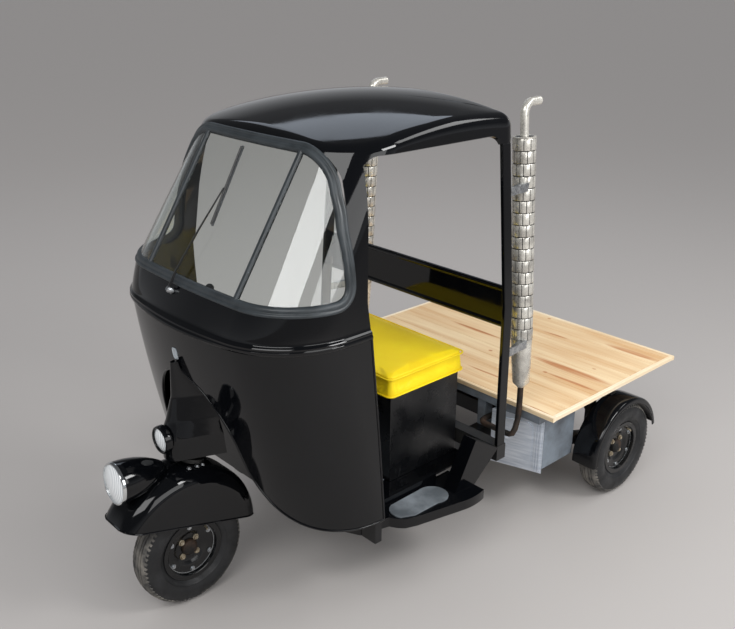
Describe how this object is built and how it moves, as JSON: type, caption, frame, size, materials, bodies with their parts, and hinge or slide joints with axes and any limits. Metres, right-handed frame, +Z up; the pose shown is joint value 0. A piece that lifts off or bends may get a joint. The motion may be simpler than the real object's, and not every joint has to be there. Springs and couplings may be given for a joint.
{
  "type": "auto rickshaw",
  "caption": "Three-wheeled auto rickshaw with an open driver's cab, a wooden cargo deck, upright exhaust stacks, and a front wheel steered by a handlebar",
  "frame": {"origin": "on the ground, under the middle of the overall length and width", "axes": "+X the vehicle's left, -Y its front, +Z up"},
  "size_m": [1.346, 2.4562, 1.7229],
  "materials": {
    "black_paint": "high gloss",
    "gasket_rubber": "satin",
    "window_glass": "clear, slightly green",
    "lamp_glass": "frosted by ribs",
    "mat_rubber": "worn, matt",
    "seat_base_black": "semi gloss",
    "yellow_vinyl": "soft sheen",
    "chassis_black": "semi gloss",
    "deck_steel": "dull grey",
    "pine": "varnished",
    "trim_wood": "varnished",
    "side_box_grey": "dull grey",
    "embossed_sheet": "satin",
    "engine_cast": "rough",
    "stack_chrome": "polished",
    "clamp_black": "semi gloss",
    "tyre_rubber": "matt",
    "rim_black": "gloss",
    "drum_iron": "rough",
    "grip_plastic": "matt"
  },
  "bodies": {
    "body": {"front_shell": "black_paint", "cowl": "black_paint", "windscreen_surround": "black_paint", "roof": "black_paint", "rear_posts": "black_paint", "nose_cover": "black_paint", "floor_pan": "black_paint", "sills": "black_paint", "rear_guards": "black_paint", "back_beam": "black_paint", "windscreen_rubber": "gasket_rubber", "windscreen_glass": "window_glass", "nose_lamp": "lamp_glass", "floor_mats": "mat_rubber", "seat_base": "seat_base_black", "seat_cushion": "yellow_vinyl", "chassis_rails": "chassis_black", "post_cross_member": "chassis_black", "rear_arms": "chassis_black", "rear_dampers": "chassis_black", "brake_pedal": "chassis_black", "deck_frame": "deck_steel", "deck_board": "pine", "deck_trim": "trim_wood", "side_boxes": "side_box_grey", "front_panels": "embossed_sheet", "engine_block": "engine_cast", "stacks": "stack_chrome", "stack_clamps": "clamp_black"},
    "steering": {"front_guard": "black_paint", "headlamp_pod": "black_paint", "headlamp_lens": "lamp_glass", "steering_stem": "chassis_black", "front_link": "chassis_black", "front_damper": "chassis_black", "handlebar": "chassis_black", "handlebar_grips": "grip_plastic"},
    "front_wheel": {"front_tyre": "tyre_rubber", "front_rim": "rim_black", "front_hub": "drum_iron"},
    "rear_wheel_left": {"rear_left_tyre": "tyre_rubber", "rear_left_rim": "rim_black", "rear_left_hub": "drum_iron"},
    "rear_wheel_right": {"rear_right_tyre": "tyre_rubber", "rear_right_rim": "rim_black", "rear_right_hub": "drum_iron"}
  },
  "joints": [
    {"name": "steering", "type": "hinge", "parent": "body", "child": "steering", "pos_m": [0, -0.9269, 0.52], "axis": [0, 0.2756, 0.9613], "range_deg": [-40, 40]},
    {"name": "front_wheel_spin", "type": "hinge", "parent": "steering", "child": "front_wheel", "pos_m": [0, -0.9569, 0.205], "axis": [1, 0, 0], "continuous": true},
    {"name": "rear_wheel_left_spin", "type": "hinge", "parent": "body", "child": "rear_wheel_left", "pos_m": [0.615, 0.8021, 0.205], "axis": [1, 0, 0], "continuous": true},
    {"name": "rear_wheel_right_spin", "type": "hinge", "parent": "body", "child": "rear_wheel_right", "pos_m": [-0.615, 0.8021, 0.205], "axis": [1, 0, 0], "continuous": true}
  ]
}
